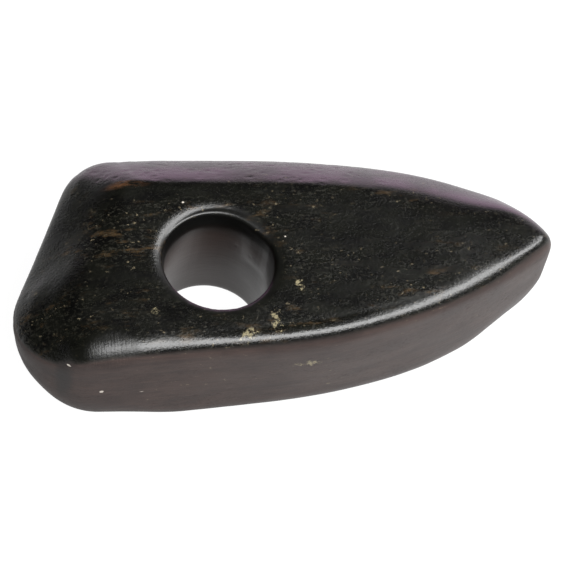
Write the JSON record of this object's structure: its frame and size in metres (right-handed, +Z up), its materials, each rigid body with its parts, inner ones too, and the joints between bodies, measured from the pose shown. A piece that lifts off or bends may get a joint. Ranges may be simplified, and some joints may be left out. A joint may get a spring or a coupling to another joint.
{
  "type": "polished stone shaft-hole axe head",
  "caption": "Ground and polished stone axe head lying flat, with a blunt curved cutting edge, an oblique butt and a round shaft hole through its thickness.",
  "frame": {"origin": "middle of the bounding box, on the flat underside that the axe head lies on", "axes": "+X towards the cutting edge, +Y across the body towards its wider side, +Z up along the shaft hole"},
  "size_m": [0.1354, 0.061, 0.0355],
  "materials": {
    "polished_stone": "polished, dark greenish grey to black, speckled, with worn and stained edges"
  },
  "bodies": {
    "root": {"axe_head": "polished_stone"}
  },
  "joints": []
}
